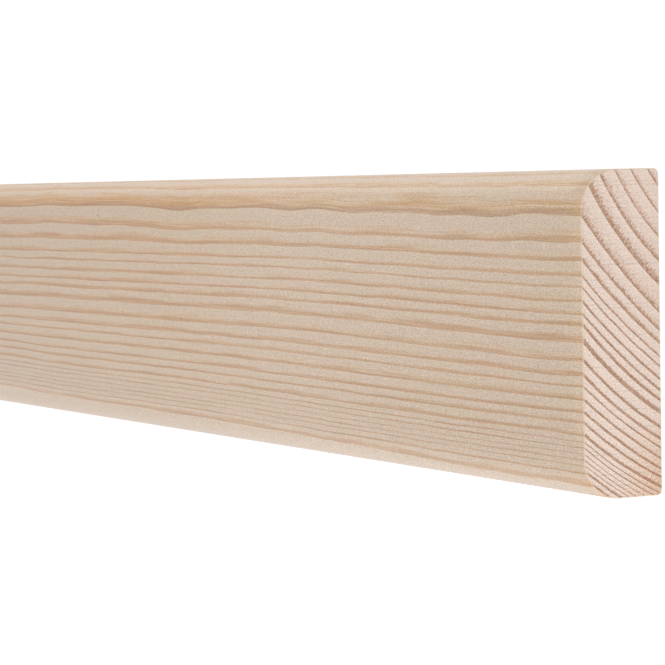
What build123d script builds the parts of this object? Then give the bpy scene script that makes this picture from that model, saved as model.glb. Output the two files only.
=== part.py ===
from build123d import *
import os

# Wall handrail: one length of planed softwood with a flat back and two rounded hand edges.
# It lies on its back: X runs along the rail, Y across its face, Z from the flat back to the front face.

os.makedirs("parts", exist_ok=True)

# Sizes in millimetres
RAIL_LENGTH = 2400.0  # a length the moulding is sold in
RAIL_WIDTH = 95.0  # across the face, upright on the wall
RAIL_THICKNESS = 27.0  # from the wall side to the front face
HAND_RADIUS = 12.0  # the two front edges that the hand closes round
BACK_RADIUS = 1.5  # the two arrises on the wall side, eased by the planer
END_ARRIS = 0.3  # the sawn ends, touched with sandpaper all round

with BuildPart() as handrail:
    # The moulded section, standing on its flat back
    with BuildSketch(Plane.YZ):
        Rectangle(RAIL_WIDTH, RAIL_THICKNESS, align=(Align.CENTER, Align.MIN))
        fillet(vertices().group_by(Axis.Y)[-1], HAND_RADIUS)
        fillet(vertices().group_by(Axis.Y)[0], BACK_RADIUS)
    extrude(amount=RAIL_LENGTH / 2, both=True)

    # Both ends are cut square, then their arrises are broken
    end_faces = faces().filter_by(Axis.X)
    chamfer(end_faces.edges(), END_ARRIS)

handrail.part.label = "handrail"
export_step(handrail.part, "parts/handrail.step")
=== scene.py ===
"""Pine wall handrail, lying on its flat back on a white floor, seen from above one sawn end."""

import bpy
import numpy as np
from mathutils import Matrix, Vector


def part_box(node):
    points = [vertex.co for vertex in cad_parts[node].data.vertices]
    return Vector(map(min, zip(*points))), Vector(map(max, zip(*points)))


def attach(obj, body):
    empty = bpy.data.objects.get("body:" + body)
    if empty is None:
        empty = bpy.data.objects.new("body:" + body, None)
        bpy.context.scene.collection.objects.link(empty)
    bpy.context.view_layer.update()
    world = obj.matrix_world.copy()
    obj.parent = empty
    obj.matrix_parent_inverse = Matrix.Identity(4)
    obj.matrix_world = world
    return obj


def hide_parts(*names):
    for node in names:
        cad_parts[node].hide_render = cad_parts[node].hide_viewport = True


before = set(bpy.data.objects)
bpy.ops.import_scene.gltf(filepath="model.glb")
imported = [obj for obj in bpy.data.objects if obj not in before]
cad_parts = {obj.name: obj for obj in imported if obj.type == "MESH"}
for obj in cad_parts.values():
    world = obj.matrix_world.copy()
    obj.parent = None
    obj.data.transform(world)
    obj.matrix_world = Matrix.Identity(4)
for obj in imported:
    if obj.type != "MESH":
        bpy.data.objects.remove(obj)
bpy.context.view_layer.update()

MM = 0.001  # millimetres to Blender's metres

# Sizes of the rail in millimetres: its box comes from the handrail in model.glb, its edges repeat the part's
# source
rail_low, rail_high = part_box("handrail")
LENGTH, WIDTH, THICKNESS = (rail_high - rail_low) / MM
HAND_RADIUS = 12.0
BACK_RADIUS = 1.5
END_ARRIS = 0.3

# Mesh: points round the section and on each of its corners, stations along the rail, rings across a sawn end
AROUND = 440
CORNER_POINTS = 65
FAR_STATIONS, NEAR_STATIONS = 122, 58
NEAR_STRETCH = 460.0  # the grain waves most by the near end, so its stations stand closer, mm
END_RINGS = 16

# The tree: its pith ran beside the board, above the top edge and behind the back
PITH_Y, PITH_Z = 89.5, -61.0
SHOWN_LENGTH = 430.0  # the waves of the lines are given this far back from the near end, mm
BEARING_RADIUS = 120.0  # distances round the pith are measured at this radius, mm
# Each year's growth in mm: the outer edge of its late wood from the pith, how wide that late wood is,
# and how far inside that edge the wood starts to turn tan
YEARS = [
    (60.0, 0.8, 2.0), (65.5, 0.7, 1.6), (70.0, 0.6, 1.5), (74.0, 0.5, 1.2), (78.0, 0.6, 1.5),
    (82.9, 0.5, 1.1), (87.6, 0.4, 1.6), (92.4, 0.85, 2.0), (97.4, 1.65, 2.5), (103.9, 0.95, 3.3),
    (108.1, 0.88, 2.0), (111.2, 0.92, 1.7), (114.1, 0.52, 1.2), (116.1, 0.45, 0.7), (118.9, 0.7, 1.3),
    (121.3, 0.65, 1.2), (123.6, 0.82, 1.3), (126.9, 1.4, 1.8), (130.9, 0.95, 2.0), (134.1, 0.95, 1.5),
    (136.4, 0.52, 1.1), (139.4, 0.8, 1.6), (142.3, 0.75, 1.2), (144.6, 0.68, 1.0), (147.4, 0.95, 1.4),
    (148.9, 0.38, 0.6), (150.3, 0.4, 0.6), (151.7, 0.24, 0.5), (153.1, 0.35, 0.6), (154.3, 0.28, 0.5),
    (155.9, 0.75, 1.0), (157.6, 0.65, 1.1), (164.0, 0.9, 1.5), (168.0, 0.8, 1.4), (172.0, 0.9, 1.6),
]
YEAR_EDGES, LATE_WIDTHS, TAN_WIDTHS = np.array(YEARS).T
# On the face the darkest year's tan is broader than on the end, and the last narrow years are thin lines
darkest_year = YEAR_EDGES == 103.9
narrow_years = (YEAR_EDGES > 148.0) & (YEAR_EDGES < 157.0)
FACE_LATE_WIDTHS = np.where(narrow_years, np.minimum(LATE_WIDTHS, 0.4), LATE_WIDTHS)
FACE_TAN_WIDTHS = TAN_WIDTHS * np.select([darkest_year, narrow_years], [1.6, 0.4], 1.0)
# Late wood starts and is full this many of its widths inside the edge: gently on the face,
# abruptly on an end
FACE_LATE = 1.3, 0.5
END_LATE = 1.12, 0.8
RELIEF = 0.012  # early wood lies this much lower than late wood after planing, mm


def ease(start, end, x):
    """Smooth step: 0 before start, 1 after end, and 3t^2 - 2t^3 between them."""
    t = np.clip((x - start) / (end - start), 0.0, 1.0)
    return t * t * (3.0 - 2.0 * t)


def bells(x, places, heights, spread):
    """Sum of bell curves, height times exp(-((x - place) / spread)^2) each."""
    offset = (np.asarray(x)[..., None] - np.asarray(places)) / spread
    return (np.asarray(heights) * np.exp(-offset**2)).sum(-1)


def section_outline(count):
    """The moulded section: four quarter circles joined by straight runs, read off at even steps of length.

    It runs anticlockwise seen from the near end and starts in the middle of the flat back.
    Gives the points (Y, Z) and their outward normals.
    """
    half = WIDTH / 2
    corners = (  # centre Y, centre Z, radius, first angle in quarter turns
        (half - BACK_RADIUS, BACK_RADIUS, BACK_RADIUS, -1),
        (half - HAND_RADIUS, THICKNESS - HAND_RADIUS, HAND_RADIUS, 0),
        (HAND_RADIUS - half, THICKNESS - HAND_RADIUS, HAND_RADIUS, 1),
        (BACK_RADIUS - half, BACK_RADIUS, BACK_RADIUS, 2),
    )
    turn = np.linspace(0.0, 1.0, CORNER_POINTS)
    back_middle = np.array([[0.0, 0.0, 0.0, -1.0]])
    line = [back_middle]
    for y, z, radius, first in corners:
        angle = (first + turn) * np.pi / 2
        way = np.stack([np.cos(angle), np.sin(angle)], 1)
        line.append(np.hstack([np.array([y, z]) + radius * way, way]))
    line = np.concatenate([*line, back_middle])
    length = np.concatenate([[0.0], np.cumsum(np.hypot(*np.diff(line[:, :2], axis=0).T))])
    stops = np.arange(count) / count * length[-1]
    read = np.stack([np.interp(stops, length, column) for column in line.T], 1)
    normals = read[:, 2:] / np.linalg.norm(read[:, 2:], axis=1, keepdims=True)
    return read[:, :2], normals


def ring_bulge(radius, depth):
    """How far a ring leaves its circle at this depth behind the front face, in mm.

    A lean that grows with the depth, and a bow that is a half sine from front to back; each is set by
    straight runs between a few radii.
    """
    across = depth / THICKNESS
    lean = np.interp(radius, [84.0, 95.0, 112.0, 124.0, 128.0, 146.0], [-0.6, 0.1, 0.15, 2.0, 2.1, 1.0])
    bow = np.interp(radius, [95.0, 104.0, 112.0, 122.0, 127.0, 137.0, 141.0, 145.0],
                    [0.0, -0.95, -0.5, -0.35, 0.2, 0.0, -0.4, 0.15])
    return lean * across + bow * np.sin(np.pi * across)


def trunk_place(x, y, z):
    """Where a point of the board lay in the tree: along the trunk, out from the pith, round the pith (mm).

    The rings are circles about the pith, less their bulge. Going back from the near end the pith climbs,
    so the lines on the face lift; the inner years wave with bell-shaped dips, the outer years climb more
    slowly.
    """
    back = LENGTH / 2 - x
    chance = np.random.default_rng(11)
    first = np.hypot(y - PITH_Y, z - PITH_Z)
    inner = 1.0 - ease(104.0, 114.0, first)
    outer = ease(128.0, 144.0, first)
    middle_lift = 2.5 * ease(8.0, 195.0, back) - bells(back, [20.0], [0.25], 14.0)
    outer_lift = 2.2 * ease(15.0, 290.0, back) + 0.8 * ease(370.0, 450.0, back)
    near_dips = bells(
        back, [28.0, 48.0, 80.0, 108.0, 136.0, 179.0, 267.0, 395.0],
        [0.6, -0.8, -0.9, -0.4, -1.0, -0.8, -0.85, 0.6], 13.0,
    )
    far_dips = bells(back, chance.uniform(480.0, 2390.0, 24), chance.uniform(-1.0, 0.5, 24), 30.0)
    inner_lift = near_dips + far_dips + 1.4 * ease(276.0, 316.0, back)
    past = back - SHOWN_LENGTH
    wander = ease(SHOWN_LENGTH, 900.0, back) * (1.6 * np.sin(past / 260.0) + 0.001 * past)
    lift = (1.0 - outer) * middle_lift + outer * outer_lift + inner * inner_lift + wander
    radius = np.hypot(y - PITH_Y - lift, z - PITH_Z)
    radius = radius - ring_bulge(radius, THICKNESS - z)
    bearing = np.arctan2(z - PITH_Z, PITH_Y + lift - y)
    return np.stack([back, radius, bearing * BEARING_RADIUS], -1)


def late_share(radius):
    """How far a year's late wood has come at this radius: 0 in early wood, 1 at the year's outer edge."""
    years = np.interp(radius, YEAR_EDGES, np.arange(len(YEAR_EDGES)))
    year = np.clip(np.floor(years).astype(int) + 1, 1, len(YEAR_EDGES) - 1)
    to_edge = YEAR_EDGES[year] - radius
    starts, full = FACE_LATE
    return 1.0 - ease(full, starts, to_edge / FACE_LATE_WIDTHS[year])


def make_handrail():
    """The section carried along the rail as one grid, closed by rings that shrink to each end's middle.

    Rows of the grid run from the far end's middle to the near end's middle: sawn end, broken arris, planed
    length, broken arris, sawn end. Early wood is sunk along the section's normal by the relief.
    """
    outline, normals = section_outline(AROUND)
    middle = np.array([0.0, THICKNESS / 2])
    inset = outline - END_ARRIS * normals
    shrink = np.arange(1, END_RINGS + 1)[:, None, None] / END_RINGS
    end_rows = middle + shrink * (inset - middle)
    near_start = LENGTH / 2 - NEAR_STRETCH
    stations = np.concatenate([
        np.linspace(END_ARRIS - LENGTH / 2, near_start, FAR_STATIONS, endpoint=False),
        np.linspace(near_start, LENGTH / 2 - END_ARRIS, NEAR_STATIONS),
    ])
    flat = np.concatenate([end_rows, np.repeat(outline[None], len(stations), 0), end_rows[::-1]])
    rows = len(flat)
    x = np.concatenate([np.full(END_RINGS, -LENGTH / 2), stations, np.full(END_RINGS, LENGTH / 2)])
    x = np.repeat(x[:, None], AROUND, 1)
    planed = slice(END_RINGS + 1, rows - END_RINGS - 1)
    late = late_share(trunk_place(x, flat[..., 0], flat[..., 1])[..., 1])
    flat[planed] -= (RELIEF * (1.0 - late[planed]))[..., None] * normals
    points = np.concatenate([x[..., None], flat], -1).reshape(-1, 3)
    poles = np.array([[-LENGTH / 2, *middle], [LENGTH / 2, *middle]])
    points = np.concatenate([points, poles])

    row, around = np.meshgrid(np.arange(rows - 1), np.arange(AROUND), indexing="ij")
    step = np.stack([around, around + 1, around + 1, around], -1)
    climb = np.stack([row, row, row + 1, row + 1], -1)
    quads = (climb * AROUND + step % AROUND).reshape(-1, 4)
    ring = np.arange(AROUND)
    last = (rows - 1) * AROUND
    far_fan = np.stack([np.full(AROUND, rows * AROUND), (ring + 1) % AROUND, ring], 1)
    near_fan = np.stack([np.full(AROUND, rows * AROUND + 1), last + ring, last + (ring + 1) % AROUND], 1)

    mesh = bpy.data.meshes.new("handrail_pine")
    mesh.from_pydata((points * MM).tolist(), [], quads.tolist() + far_fan.tolist() + near_fan.tolist())

    place = trunk_place(*points.T)
    stored = mesh.attributes.new("trunk_place", "FLOAT_VECTOR", "POINT")
    stored.data.foreach_set("vector", place.astype(np.float32).ravel())

    quad_row = climb[..., 0].ravel()
    arris = np.isin(quad_row, (END_RINGS - 1, rows - END_RINGS - 1))
    sawn = (quad_row < END_RINGS - 1) | (quad_row >= rows - END_RINGS)
    fans = np.ones(2 * AROUND, bool)
    mesh.polygons.foreach_set("material_index", np.concatenate([sawn, fans]).astype(np.int32))
    mesh.polygons.foreach_set("use_smooth", np.concatenate([~(arris | sawn), ~fans]))
    broken = mesh.attributes.new("broken_arris", "FLOAT", "FACE")
    broken.data.foreach_set("value", np.concatenate([arris, ~fans]).astype(np.float32))

    # The bake's map: the planed length as one strip, and the two ends as flat islands beside it
    margin, strip_length, strip_height = 0.01, 0.83, 0.98
    end_width, near_end_at, far_end_step = 0.46, np.array([0.24, 0.858]), np.array([0.5, 0.0])
    along = (x[:, 0] + LENGTH / 2) / LENGTH
    strip = np.stack([margin + strip_length * along[climb], margin + strip_height * step / AROUND], -1)
    strip = strip.reshape(-1, 4, 2)
    end_flat = points[:, 1:] * end_width / WIDTH + near_end_at
    end_flat = np.where(points[:, :1] > 0, end_flat, end_flat + far_end_step)[:, ::-1]
    corners = np.where(sawn[:, None, None], end_flat[quads], strip).reshape(-1, 2)
    corners = np.concatenate([corners, end_flat[far_fan].reshape(-1, 2), end_flat[near_fan].reshape(-1, 2)])
    baked = mesh.uv_layers.new(name="OFBake")
    baked.uv.foreach_set("vector", corners.astype(np.float32).ravel())
    mesh.update()

    piece = bpy.data.objects.new("pine_handrail", mesh)
    bpy.context.scene.collection.objects.link(piece)
    return piece


def linear(colour):
    """sRGB hex to linear: ((c + 0.055) / 1.055)^2.4 above the toe and c / 12.92 below it."""
    c = np.array([int(colour[i : i + 2], 16) for i in (1, 3, 5)]) / 255.0
    return (*np.where(c <= 0.04045, c / 12.92, ((c + 0.055) / 1.055) ** 2.4).tolist(), 1.0)


def add(tree, kind, inputs=None, **settings):
    """Adds one node with its settings; inputs maps a socket to a value or to another node's output."""
    made = tree.nodes.new("ShaderNode" + kind)
    for name, value in settings.items():
        setattr(made, name, value)
    for socket, value in (inputs or {}).items():
        if isinstance(value, bpy.types.NodeSocket):
            tree.links.new(value, made.inputs[socket])
        else:
            made.inputs[socket].default_value = value
    return made


def new_material(name):
    """An empty node material and its tree."""
    material = bpy.data.materials.new(name)
    material.use_nodes = True
    material.node_tree.nodes.clear()
    return material, material.node_tree


def bend_curve(node, xs, ys):
    """Gives a Float Curve straight runs through the points (x, y), both from 0 to 1."""
    curve = node.mapping.curves[0]
    curve.points[0].location = (xs[0], ys[0])
    curve.points[1].location = (xs[-1], ys[-1])
    for x, y in zip(xs[1:-1], ys[1:-1]):
        curve.points.new(x, y)
    for point in curve.points:
        point.handle_type = "VECTOR"
    node.mapping.update()


def patches(tree, place, size, detail=2.0):
    """Irregular light and dark patches about this many mm across, along, out from and round the pith.

    Smooth noise read at the place divided by the size; its values lie either side of 0.5.
    """
    scaled = add(tree, "VectorMath", {0: place, 1: size}, operation="DIVIDE")
    noise = add(tree, "TexNoise", {"Vector": scaled.outputs[0], "Scale": 1.0, "Detail": detail})
    return noise.outputs["Fac"]


def growth_rings(tree, place, stray, swell, late_runs, year_widths):
    """Place in the trunk to late wood, the tan wood before it and the pale start of the year, 0 to 1 each.

    stray is how far the rings wander from the trunk's own, in mm, swell a socket that multiplies the
    widths, late_runs where late wood starts and is full, and year_widths each year's late wood and tan, in
    mm. The radius becomes a count of years; how far a point is through its year is then compared with the
    shares of that year that are late wood and tan.
    """
    first, last, count = YEAR_EDGES[0], YEAR_EDGES[-1], len(YEAR_EDGES) - 1
    radius = add(tree, "SeparateXYZ", {0: place}).outputs[1]
    wander = patches(tree, place, (24.0, 5.0, 7.0))
    radius = add(tree, "Math", {0: wander, 1: 2 * stray, 2: radius}, operation="MULTIPLY_ADD").outputs[0]
    share = add(tree, "MapRange", {0: radius, 1: first + stray, 2: last + stray}).outputs[0]
    years_curve = add(tree, "FloatCurve", {"Value": share})
    bend_curve(years_curve, (YEAR_EDGES - first) / (last - first), np.arange(count + 1) / count)
    years = add(tree, "Math", {0: years_curve.outputs[0], 1: float(count)}, operation="MULTIPLY").outputs[0]
    through = add(tree, "Math", {0: years}, operation="FRACT").outputs[0]
    year = add(tree, "Math", {0: years}, operation="FLOOR").outputs[0]
    year_share = add(tree, "Math", {0: year, 1: float(count)}, operation="DIVIDE").outputs[0]

    widths = []
    for sizes in year_widths:
        shares = sizes[1:] / np.diff(YEAR_EDGES)
        curve = add(tree, "FloatCurve", {"Value": year_share})
        bend_curve(curve, np.arange(count + 1) / count, np.append(shares, shares[-1]))
        widths.append(add(tree, "Math", {0: curve.outputs[0], 1: swell}, operation="MULTIPLY").outputs[0])
    late_width, tan_width = widths
    starts, full = [
        add(tree, "Math", {0: late_width, 1: -run, 2: 1.0}, operation="MULTIPLY_ADD").outputs[0]
        for run in late_runs
    ]
    turns_tan = add(tree, "Math", {0: 1.0, 1: tan_width}, operation="SUBTRACT").outputs[0]
    late = add(
        tree, "MapRange", {0: through, 1: starts, 2: full}, interpolation_type="SMOOTHSTEP"
    ).outputs[0]
    tan = add(tree, "MapRange", {0: through, 1: turns_tan, 2: full}).outputs[0]
    pale = add(tree, "MapRange", {0: through, 1: 0.0, 2: 0.3, 3: 1.0, 4: 0.0}).outputs[0]
    return late, tan, pale


def speckle(tree, colour, pattern, depth):
    """Colour times 1 - depth to 1 + depth where the pattern runs 0.2 to 0.8; dark specks are browner."""
    shares = 0.92, 1.0, 1.12
    dark = tuple(1.0 - depth * share for share in shares)
    bright = tuple(1.0 + depth * share for share in shares)
    spread = add(
        tree, "MapRange",
        {"Vector": pattern, 7: (0.2,) * 3, 8: (0.8,) * 3, 9: dark, 10: bright},
        data_type="FLOAT_VECTOR", clamp=False,
    ).outputs["Vector"]
    return add(tree, "VectorMath", {0: colour, 1: spread}, operation="MULTIPLY").outputs[0]


def planed_pine():
    """Planed pine, long grain: cut by a moulder's knives and left bare, so it is matt with a faint sheen.

    The eye sees beige early wood with a fine fleck, tan wood that deepens to a thin grey-brown line at the
    end of each year, strands drawn out along the grain, and one small grey fleck in the face.
    """
    material, tree = new_material("planed_pine_long_grain")
    place = add(tree, "Attribute", attribute_name="trunk_place").outputs["Vector"]
    swell = patches(tree, place, (30.0, 2.2, 12.0))
    swell = add(tree, "MapRange", {0: swell, 1: 0.3, 2: 0.7, 3: 0.65, 4: 1.35}).outputs[0]
    year_widths = FACE_LATE_WIDTHS, FACE_TAN_WIDTHS
    late, tan, pale = growth_rings(tree, place, 0.35, swell, FACE_LATE, year_widths)
    # The year that ends 104 mm from the pith is the darkest band on the face
    radius = add(tree, "SeparateXYZ", {0: place}).outputs[1]
    darkest = add(tree, "MapRange", {0: radius, 1: 97.5, 2: 98.5}).outputs[0]
    not_past = add(tree, "MapRange", {0: radius, 1: 104.5, 2: 105.5, 3: 1.0, 4: 0.0}).outputs[0]
    darkest = add(tree, "Math", {0: darkest, 1: not_past}, operation="MULTIPLY").outputs[0]
    # The inner years, which come out on the rounded top edge, are faint
    clear = add(tree, "MapRange", {0: radius, 1: 93.0, 2: 102.0, 3: 0.3, 4: 1.0}).outputs[0]
    # There and in the darkest band the tan wood soon reaches its full depth
    even = add(tree, "MapRange", {0: radius, 1: 104.5, 2: 105.5, 3: 1.5, 4: 1.0}).outputs[0]
    tan = add(tree, "Math", {0: tan, 1: even}, operation="MULTIPLY", use_clamp=True).outputs[0]

    # Broad tints: pinker or yellower stretches a finger long
    tint = patches(tree, place, (20.0, 3.0, 6.0))
    tint = add(tree, "MapRange", {0: tint, 1: 0.35, 2: 0.65}).outputs[0]
    early = add(tree, "Mix", {0: tint, "A": linear("#d8c0ab"), "B": linear("#d6c1a8")}, data_type="RGBA")
    warm = add(tree, "Mix", {0: tint, "A": linear("#d2a87a"), "B": linear("#d0a979")}, data_type="RGBA")
    dense = add(tree, "Mix", {0: tint, "A": linear("#c49b78"), "B": linear("#c29d77")}, data_type="RGBA")

    # Strands 0.5 mm thick break up the tan wood and the late wood
    strands = patches(tree, place, (40.0, 0.5, 0.5), 3.0)
    strand_share = add(tree, "MapRange", {0: strands, 1: 0.32, 2: 0.62, 3: 0.2, 4: 1.0}).outputs[0]
    tan_share = add(tree, "Math", {0: tan, 1: strand_share}, operation="MULTIPLY").outputs[0]
    colour = add(
        tree, "Mix",
        {0: tan_share, "A": early.outputs["Result"], "B": warm.outputs["Result"]},
        data_type="RGBA",
    )
    late_strands = add(tree, "MapRange", {0: strands, 1: 0.3, 2: 0.7, 3: 0.6, 4: 1.0}).outputs[0]
    late_shown = add(tree, "Math", {0: late, 1: late_strands}, operation="MULTIPLY").outputs[0]
    late_shown = add(tree, "Math", {0: clear, 1: late_shown}, operation="MULTIPLY").outputs[0]
    darkest_late = add(tree, "Math", {0: darkest, 1: late_shown}, operation="MULTIPLY").outputs[0]
    colour = add(
        tree, "Mix",
        {0: late_shown, "A": colour.outputs["Result"], "B": dense.outputs["Result"]},
        data_type="RGBA",
    )

    # Cut fibres: real ones are 0.04 mm thick, drawn five times as coarse so that they show
    fibres = patches(tree, place, (0.9, 0.2, 0.2))
    colour = speckle(tree, colour.outputs["Result"], fibres, 0.38)
    # Strands are lighter and darker too, most in the tan wood, and each year starts a little paler
    streaks = add(tree, "Math", {0: strands, 1: 0.5}, operation="SUBTRACT").outputs[0]
    streaky = add(tree, "Math", {0: tan, 1: -0.37, 2: -0.15}, operation="MULTIPLY_ADD").outputs[0]
    strand_tone = add(tree, "Math", {0: streaks, 1: streaky, 2: 1.0}, operation="MULTIPLY_ADD").outputs[0]
    pale_tone = add(tree, "Math", {0: pale, 1: 0.03, 2: 1.0}, operation="MULTIPLY_ADD").outputs[0]
    tone = add(tree, "Math", {0: strand_tone, 1: pale_tone}, operation="MULTIPLY").outputs[0]
    darkest_tone = add(tree, "Math", {0: darkest_late, 1: -0.12, 2: 1.0}, operation="MULTIPLY_ADD")
    tone = add(tree, "Math", {0: tone, 1: darkest_tone.outputs[0]}, operation="MULTIPLY").outputs[0]
    colour = add(tree, "VectorMath", {0: colour, "Scale": tone}, operation="SCALE").outputs[0]

    # Some way back from the near end the board is darker, which is painted shade, and its tan wood warmer,
    # most of all in the face's upper half
    back = add(tree, "SeparateXYZ", {0: place}).outputs[0]
    far_shade_and_warmth = add(tree, "MapRange", {0: back, 1: 170.0, 2: 290.0}, interpolation_type="SMOOTHSTEP")
    by_pith = add(tree, "MapRange", {0: radius, 1: 95.0, 2: 150.0, 3: 1.0, 4: 0.35}).outputs[0]
    far_shade_and_warmth = add(tree, "Math", {0: far_shade_and_warmth.outputs[0], 1: by_pith}, operation="MULTIPLY").outputs[0]
    off_edge = add(tree, "MapRange", {0: radius, 1: 92.0, 2: 102.0, 3: 0.35, 4: 1.0}).outputs[0]
    far_shade_and_warmth = add(tree, "Math", {0: far_shade_and_warmth, 1: off_edge}, operation="MULTIPLY").outputs[0]
    soon_tan = add(tree, "Math", {0: tan, 1: 1.6}, operation="MULTIPLY", use_clamp=True).outputs[0]
    warmer_tan = add(tree, "Math", {0: far_shade_and_warmth, 1: soon_tan}, operation="MULTIPLY").outputs[0]
    # The first tint is painted shade over the far stretch; the second warms its tan wood
    for share, far_tint in ((far_shade_and_warmth, "#f8f5ef"), (warmer_tan, "#fff4e6")):
        colour = add(
            tree, "Mix", {0: share, "A": colour, "B": linear(far_tint)},
            data_type="RGBA", blend_type="MULTIPLY",
        ).outputs["Result"]

    # One grey fleck in the face, an ellipse 2.4 mm long and 1 mm wide
    fleck_at = 859.0 * MM, 34.0 * MM, 27.0 * MM
    fleck_half = 1.2 * MM, 0.5 * MM, 0.5 * MM
    at = add(tree, "TexCoord").outputs["Object"]
    apart = add(tree, "VectorMath", {0: at, 1: fleck_at}, operation="SUBTRACT")
    apart = add(tree, "VectorMath", {0: apart.outputs[0], 1: fleck_half}, operation="DIVIDE")
    apart = add(tree, "VectorMath", {0: apart.outputs[0]}, operation="LENGTH")
    fleck = add(tree, "MapRange", {0: apart.outputs["Value"], 1: 0.5, 2: 1.3, 3: 0.75, 4: 0.0}).outputs[0]
    colour = add(tree, "Mix", {0: fleck, "A": colour, "B": linear("#a5907c")}, data_type="RGBA")

    # The broken arris at each end shows short fibre ends, a little paler
    worn = add(tree, "Attribute", attribute_name="broken_arris").outputs["Fac"]
    worn = add(tree, "Math", {0: worn, 1: 0.3}, operation="MULTIPLY").outputs[0]
    colour = add(
        tree, "Mix", {0: worn, "A": colour.outputs["Result"], "B": linear("#eddbc9")}, data_type="RGBA"
    )

    # Late wood is the smoother, and stands a little proud
    rough = add(tree, "MapRange", {0: late, 3: 0.56, 4: 0.48})
    grain = add(tree, "Math", {0: fibres, 1: 0.8, 2: late}, operation="MULTIPLY_ADD")
    bump = add(tree, "Bump", {"Strength": 0.35, "Distance": 0.02 * MM, "Height": grain.outputs[0]})
    surface = add(
        tree, "BsdfPrincipled",
        {
            "Base Color": colour.outputs["Result"],
            "Roughness": rough.outputs[0],
            "Normal": bump.outputs[0],
            "IOR": 1.5,
            "Specular IOR Level": 0.5,
            "Sheen Weight": 0.22,
            "Sheen Tint": linear("#e4ecff"),
            "Sheen Roughness": 0.4,
        },
    )
    add(tree, "OutputMaterial", {"Surface": surface.outputs[0]})
    return material


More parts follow.
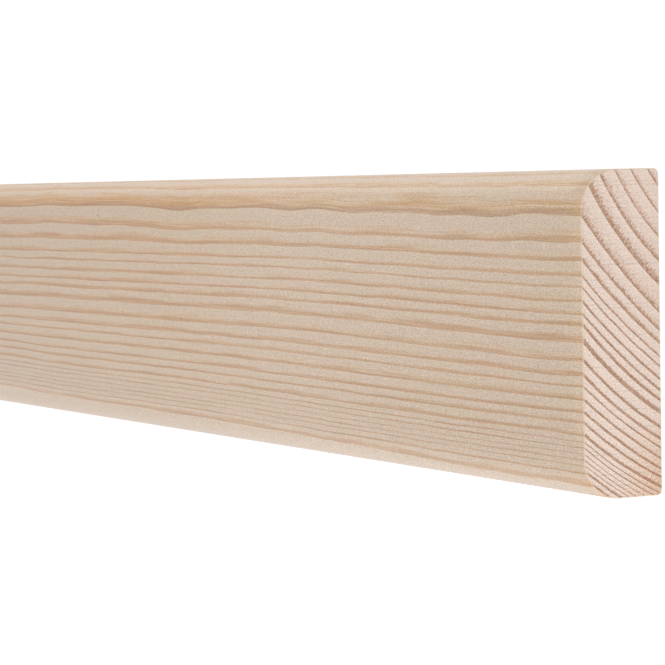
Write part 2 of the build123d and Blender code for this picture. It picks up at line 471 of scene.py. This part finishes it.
def sawn_end_grain():
    """Pine end grain, cut square by a fine saw: open cells, so it is paler and pinker, and quite matt.

    The eye sees the years as red-brown arcs, hard on the outer side and frayed along the rays on the inner,
    a fine speckle of cells, faint straight saw lines, and a resinous orange corner low at the back.
    """
    material, tree = new_material("sawn_pine_end_grain")
    place = add(tree, "Attribute", attribute_name="trunk_place").outputs["Vector"]
    # Rays are 0.03 mm thick; drawn ten times as thick so that they show
    rays = patches(tree, place, (50.0, 1.5, 0.34))
    # Cell mouths: real ones are 0.04 mm across, drawn ten times as large so that they show
    cells = patches(tree, place, (50.0, 0.4, 0.4))
    torn = add(tree, "Math", {0: rays, 1: cells}, operation="ADD").outputs[0]
    radius = add(tree, "SeparateXYZ", {0: place}).outputs[1]
    ragged = add(tree, "MapRange", {0: radius, 1: 100.0, 2: 118.0, 3: 0.8, 4: 0.2}).outputs[0]
    fray = add(tree, "MapRange", {0: torn, 1: 0.75, 2: 1.25, 3: -1.0, 4: 1.0}).outputs[0]
    fray = add(tree, "Math", {0: ragged, 1: fray, 2: 1.0}, operation="MULTIPLY_ADD").outputs[0]
    late, tan, pale = growth_rings(tree, place, 0.25, fray, END_LATE, (LATE_WIDTHS, TAN_WIDTHS))

    tint = patches(tree, place, (50.0, 1.6, 1.8))
    tint = add(tree, "MapRange", {0: tint, 1: 0.35, 2: 0.65}).outputs[0]
    early = add(tree, "Mix", {0: tint, "A": linear("#e4cfc4"), "B": linear("#e0d0c2")}, data_type="RGBA")
    dense = add(tree, "Mix", {0: tint, "A": linear("#ac826b"), "B": linear("#af8a68")}, data_type="RGBA")
    # Torn fibres stand out from a band like hairs along the rays, and the darker rays reach farther in
    hairs = add(tree, "Math", {0: torn, 1: 3.0, 2: tan}, operation="MULTIPLY_ADD").outputs[0]
    hairs = add(tree, "MapRange", {0: hairs, 1: 3.68, 2: 3.84}).outputs[0]
    hairs = add(tree, "Math", {0: ragged, 1: hairs}, operation="MULTIPLY").outputs[0]
    colour = add(
        tree, "Mix", {0: hairs, "A": early.outputs["Result"], "B": linear("#b58a70")}, data_type="RGBA"
    )
    gaps = add(tree, "MapRange", {0: torn, 1: 0.85, 2: 1.15, 3: -0.7, 4: 0.0}).outputs[0]
    whole = add(tree, "Math", {0: gaps, 1: ragged, 2: 1.0}, operation="MULTIPLY_ADD").outputs[0]
    late_shown = add(tree, "Math", {0: late, 1: whole}, operation="MULTIPLY").outputs[0]
    # Each band is stronger in some places and fainter in others, a few millimetres along it
    strength = patches(tree, place, (50.0, 2.5, 5.0))
    strength = add(tree, "MapRange", {0: strength, 1: 0.35, 2: 0.6, 3: 0.8, 4: 1.0}).outputs[0]
    late_shown = add(tree, "Math", {0: late_shown, 1: strength}, operation="MULTIPLY").outputs[0]
    colour = add(
        tree, "Mix",
        {0: late_shown, "A": colour.outputs["Result"], "B": dense.outputs["Result"]},
        data_type="RGBA",
    )
    # Resin canals: dark dots 0.3 mm across, a few millimetres apart
    canal_at = add(tree, "VectorMath", {0: place, 1: (50.0, 3.0, 3.0)}, operation="DIVIDE").outputs[0]
    canal = add(tree, "TexVoronoi", {"Vector": canal_at, "Scale": 1.0}).outputs["Distance"]
    canal = add(tree, "MapRange", {0: canal, 1: 0.04, 2: 0.09, 3: 0.5, 4: 0.0}).outputs[0]
    colour = add(
        tree, "Mix", {0: canal, "A": colour.outputs["Result"], "B": linear("#94735e")}, data_type="RGBA"
    )

    # Saw lines straight across the board's thickness, about 1.2 mm apart
    at = add(tree, "SeparateXYZ", {0: add(tree, "TexCoord").outputs["Object"]})
    saw_at = add(tree, "Math", {0: at.outputs[1], 1: 0.6 * MM}, operation="DIVIDE").outputs[0]
    saw = add(tree, "TexNoise", {"W": saw_at, "Scale": 1.0, "Detail": 1.0}, noise_dimensions="1D")
    saw_tone = add(tree, "MapRange", {0: saw.outputs["Fac"], 1: 0.27, 2: 0.38, 3: 0.87, 4: 1.0}).outputs[0]
    colour = speckle(tree, colour.outputs["Result"], cells, 0.4)
    pale_tone = add(tree, "Math", {0: pale, 1: 0.03, 2: 1.0}, operation="MULTIPLY_ADD").outputs[0]
    tone = add(tree, "Math", {0: saw_tone, 1: pale_tone}, operation="MULTIPLY").outputs[0]
    # The bands are mottled where the saw has torn or burnished their thick-walled cells
    mottle = patches(tree, place, (50.0, 0.4, 0.6))
    mottle = add(tree, "MapRange", {0: mottle, 1: 0.35, 2: 0.65, 3: -0.42, 4: 0.3}).outputs[0]
    mottled = add(tree, "Math", {0: mottle, 1: late_shown, 2: 1.0}, operation="MULTIPLY_ADD").outputs[0]
    tone = add(tree, "Math", {0: tone, 1: mottled}, operation="MULTIPLY").outputs[0]
    colour = add(tree, "VectorMath", {0: colour, "Scale": tone}, operation="SCALE").outputs[0]

    # The lower back corner is a little resinous: orange, fading out 24 mm up and 16 mm forward
    bottom, faded = -WIDTH / 2 * MM, (24.0 - WIDTH / 2) * MM
    low = add(tree, "MapRange", {0: at.outputs[1], 1: bottom, 2: faded, 3: 1.0, 4: 0.0})
    deep = add(tree, "MapRange", {0: at.outputs[2], 1: 0.0, 2: 16.0 * MM, 3: 1.0, 4: 0.0})
    resin = add(tree, "Math", {0: low.outputs[0], 1: deep.outputs[0]}, operation="MULTIPLY").outputs[0]
    colour = add(
        tree, "Mix", {0: resin, "A": colour, "B": linear("#f8e8da")},
        data_type="RGBA", blend_type="MULTIPLY",
    )
    filled = add(tree, "MapRange", {0: cells, 1: 0.4, 2: 0.52, 3: 0.5, 4: 0.0}).outputs[0]
    filled = add(tree, "Math", {0: resin, 1: filled}, operation="MULTIPLY").outputs[0]
    colour = add(
        tree, "Mix", {0: filled, "A": colour.outputs["Result"], "B": linear("#b48a6c")}, data_type="RGBA"
    )

    rough_cut = add(tree, "Math", {0: cells, 1: saw_tone}, operation="ADD")
    bump = add(tree, "Bump", {"Strength": 0.3, "Distance": 0.03 * MM, "Height": rough_cut.outputs[0]})
    surface = add(
        tree, "BsdfPrincipled",
        {
            "Base Color": colour.outputs["Result"],
            "Roughness": 0.75,
            "Normal": bump.outputs[0],
            "IOR": 1.5,
            "Specular IOR Level": 0.25,
        },
    )
    add(tree, "OutputMaterial", {"Surface": surface.outputs[0]})
    return material


handrail = make_handrail()
handrail.data.materials.append(planed_pine())
handrail.data.materials.append(sawn_end_grain())
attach(handrail, "root")
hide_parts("handrail")


def white_to_the_eye(tree, lit, plain):
    """Mixes two shaders: lit for the light that falls on the rail, plain where the eye or gloss sees it."""
    path = add(tree, "LightPath").outputs
    seen = path["Is Camera Ray"]
    for ray in ("Is Glossy Ray", "Is Transmission Ray"):
        seen = add(tree, "Math", {0: seen, 1: path[ray]}, operation="MAXIMUM").outputs[0]
    return add(tree, "MixShader", {0: seen, 1: lit, 2: plain})


def make_stage():
    """A pale floor just under the rail and a white surround: the floor keeps the rail's soft shadow."""
    half, drop = 6.0, 0.2 * MM
    corners = [(-half, -half, -drop), (half, -half, -drop), (half, half, -drop), (-half, half, -drop)]
    mesh = bpy.data.meshes.new("floor")
    mesh.from_pydata(corners, [], [(0, 1, 2, 3)])
    floor = bpy.data.objects.new("floor", mesh)
    bpy.context.scene.collection.objects.link(floor)
    material, tree = new_material("white_floor")
    lit = add(tree, "BsdfDiffuse", {"Color": linear("#e6e6e6")})
    shade = add(tree, "BsdfDiffuse", {"Color": linear("#b4b4b4")})
    glow = add(tree, "Emission", {"Color": linear("#ffffff"), "Strength": 0.76})
    plain = add(tree, "AddShader", {0: shade.outputs[0], 1: glow.outputs[0]})
    mixed = white_to_the_eye(tree, lit.outputs[0], plain.outputs[0])
    add(tree, "OutputMaterial", {"Surface": mixed.outputs[0]})
    mesh.materials.append(material)

    world = bpy.data.worlds.new("studio")
    world.use_nodes = True
    tree = world.node_tree
    tree.nodes.clear()
    lit = add(tree, "Background", {"Color": linear("#ffffff"), "Strength": 0.43})
    plain = add(tree, "Background", {"Color": linear("#ffffff"), "Strength": 1.0})
    mixed = white_to_the_eye(tree, lit.outputs[0], plain.outputs[0])
    add(tree, "OutputWorld", {"Surface": mixed.outputs[0]})
    bpy.context.scene.world = world


def softbox(name, place, aim, size, watts):
    """A square studio softbox at place, facing aim, both in metres; it lights the rail but isn't seen."""
    data = bpy.data.lights.new(name, "AREA")
    data.shape = "SQUARE"
    data.size = size
    data.energy = watts
    lamp = bpy.data.objects.new(name, data)
    bpy.context.scene.collection.objects.link(lamp)
    lamp.visible_camera = False
    lamp.location = place
    lamp.rotation_mode = "QUATERNION"
    lamp.rotation_quaternion = (Vector(aim) - Vector(place)).to_track_quat("-Z", "Y")


def make_camera():
    """The photo's viewpoint: above the near end, looking down along the rail, its top edge up."""
    data = bpy.data.cameras.new("photo_view")
    data.sensor_width = 36.0
    data.lens = 148.43
    data.clip_start, data.clip_end = 0.05, 50.0
    camera = bpy.data.objects.new("photo_view", data)
    bpy.context.scene.collection.objects.link(camera)
    stand = Vector((1852.5, 44.2, 463.0)) * MM
    aim = Vector((1050.5, -4.7, 27.0)) * MM
    back = (stand - aim).normalized()
    upwards = Vector((-0.0381, 0.9984, -0.0421))
    right = upwards.cross(back).normalized()
    turn = Matrix((right, back.cross(right), back)).transposed()
    camera.matrix_world = Matrix.Translation(stand) @ turn.to_4x4()
    bpy.context.scene.camera = camera


make_stage()
# Softboxes stand over the face, above and below the rail and at its ends; the far ones serve other views
for number, x in enumerate((1.02, -0.05, -1.1)):
    softbox(f"front_softbox_{number}", (x, 0.0, 0.53), (x, 0.0, 0.0), 0.35, 0.61)
softbox("top_softbox", (1.05, 1.6, 0.3), (1.05, 0.0, 0.0), 1.2, 13.4)
softbox("end_softbox", (2.2, -0.6, 0.16), (1.2, 0.0, 0.0), 0.28, 8.0)
softbox("low_softbox", (0.4, -1.6, 0.3), (0.4, 0.0, 0.0), 1.2, 6.5)
softbox("far_top_softbox", (-1.2, 1.6, 0.3), (-1.2, 0.0, 0.0), 1.2, 13.0)
softbox("far_end_softbox", (-2.2, -0.6, 0.16), (-1.2, 0.0, 0.0), 0.28, 8.0)
softbox("far_low_softbox", (-1.2, -1.6, 0.3), (-1.2, 0.0, 0.0), 1.2, 6.0)
make_camera()
bpy.context.scene.view_settings.view_transform = "Standard"
